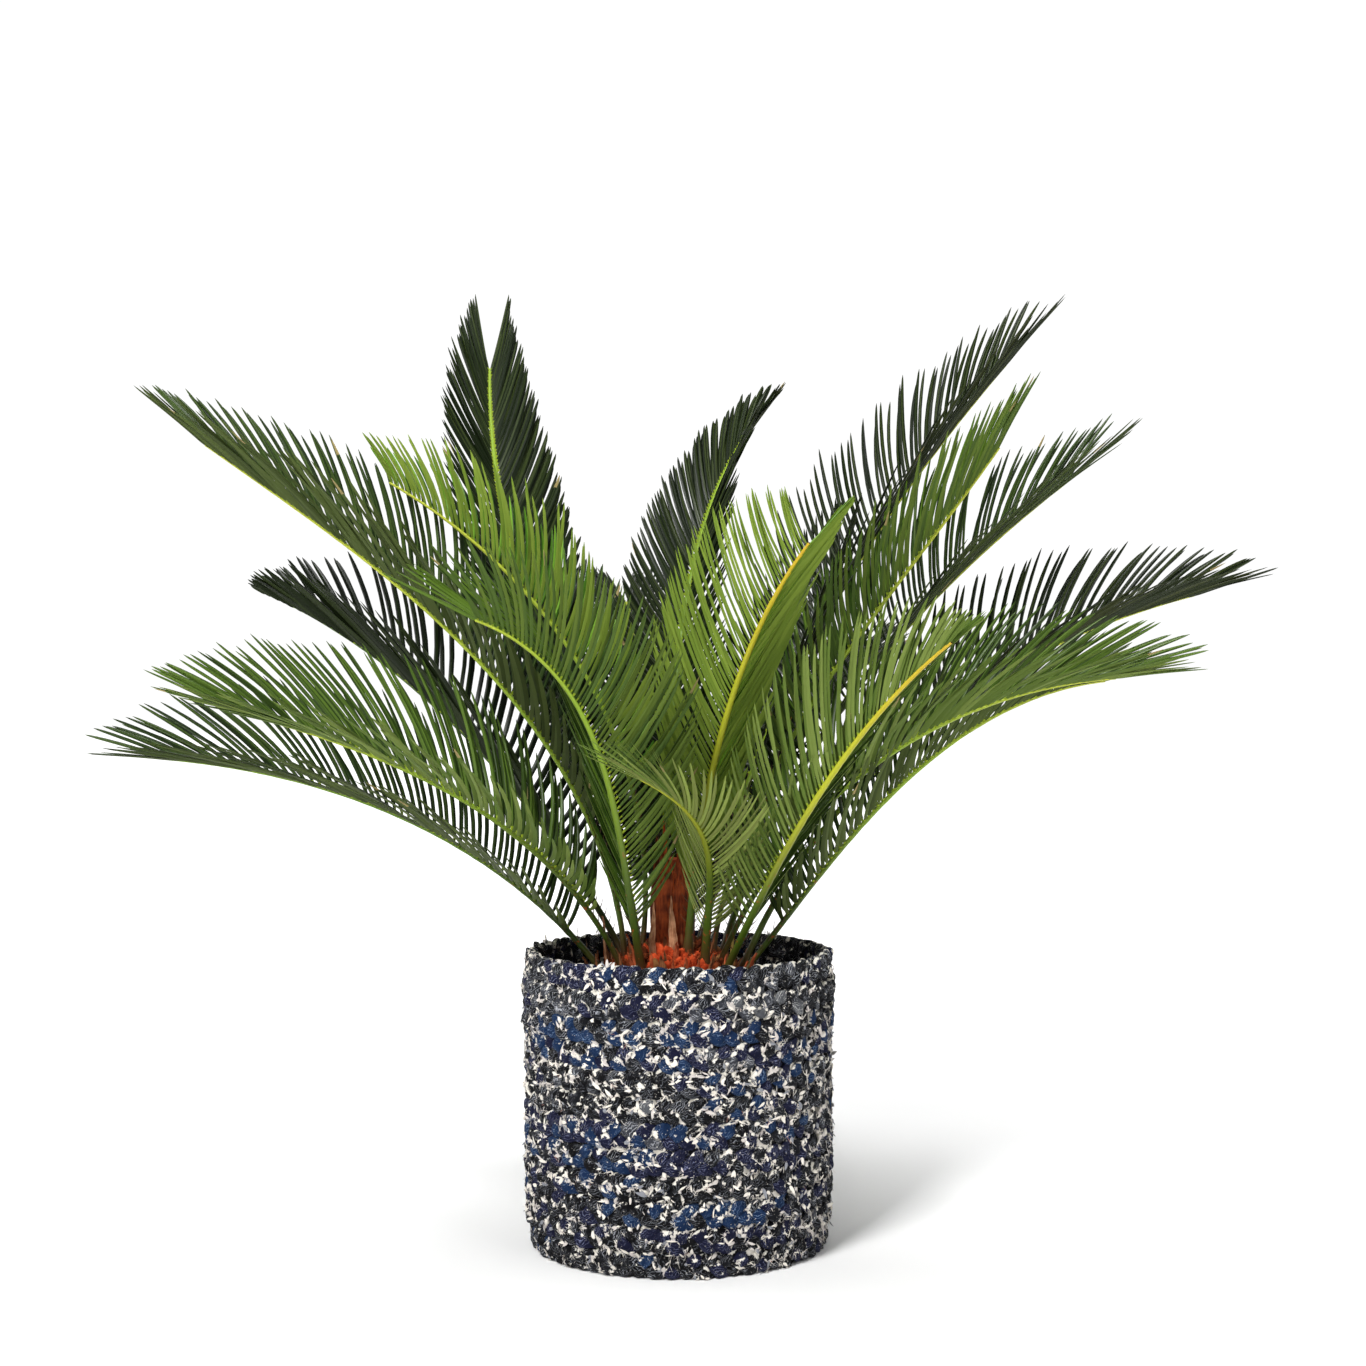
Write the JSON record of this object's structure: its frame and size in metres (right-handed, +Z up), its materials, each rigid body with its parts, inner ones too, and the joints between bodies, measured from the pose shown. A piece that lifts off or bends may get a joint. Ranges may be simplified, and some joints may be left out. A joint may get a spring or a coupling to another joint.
{
  "type": "potted sago palm in a braided rag basket",
  "caption": "Young sago palm with a squat scaly trunk and a full crown of stiff feathery fronds, in a nursery pot inside a round basket of braided denim rags.",
  "frame": {"origin": "centre of the basket's flat underside", "axes": "+Z up along the basket's axis, +X to the right as seen from the front, +Y away from the front"},
  "size_m": [0.8575, 0.6393, 0.7198],
  "materials": {
    "denim_braid": "flat three-strand braid of worn denim rags in charcoal, navy and grey, with frayed pale threads",
    "nursery_plastic": "thin blown black plastic with a faint satin sheen",
    "potting_mix": "damp dark bark and peat crumbs",
    "caudex_bark": "scaly fibrous trunk with rust woolly hair on its crown",
    "bud_sheath": "felted reddish brown fibre, ragged at its top",
    "dry_scale": "dry papery brown scale leaves with pale edges",
    "frond_leaf": "stiff glossy green leaflets on yellow-green ribs, paler under, with a few dry tan tips"
  },
  "bodies": {
    "root": {"basket": "denim_braid", "nursery_pot": "nursery_plastic", "soil": "potting_mix", "caudex": "caudex_bark", "crown_bud": "bud_sheath", "scale_leaf_01": "dry_scale", "scale_leaf_02": "dry_scale", "scale_leaf_03": "dry_scale", "scale_leaf_04": "dry_scale", "scale_leaf_05": "dry_scale", "scale_leaf_06": "dry_scale", "scale_leaf_07": "dry_scale", "scale_leaf_08": "dry_scale", "scale_leaf_09": "dry_scale", "scale_leaf_10": "dry_scale", "scale_leaf_11": "dry_scale", "scale_leaf_12": "dry_scale", "scale_leaf_13": "dry_scale", "scale_leaf_14": "dry_scale", "scale_leaf_15": "dry_scale", "scale_leaf_16": "dry_scale", "frond_01": "frond_leaf", "frond_02": "frond_leaf", "frond_03": "frond_leaf", "frond_04": "frond_leaf", "frond_05": "frond_leaf", "frond_06": "frond_leaf", "frond_07": "frond_leaf", "frond_08": "frond_leaf", "frond_09": "frond_leaf", "frond_10": "frond_leaf", "frond_11": "frond_leaf", "frond_12": "frond_leaf", "frond_13": "frond_leaf", "frond_14": "frond_leaf", "frond_15": "frond_leaf", "frond_16": "frond_leaf", "frond_17": "frond_leaf", "frond_18": "frond_leaf", "frond_19": "frond_leaf", "frond_20": "frond_leaf", "frond_21": "frond_leaf", "frond_22": "frond_leaf"}
  },
  "joints": []
}
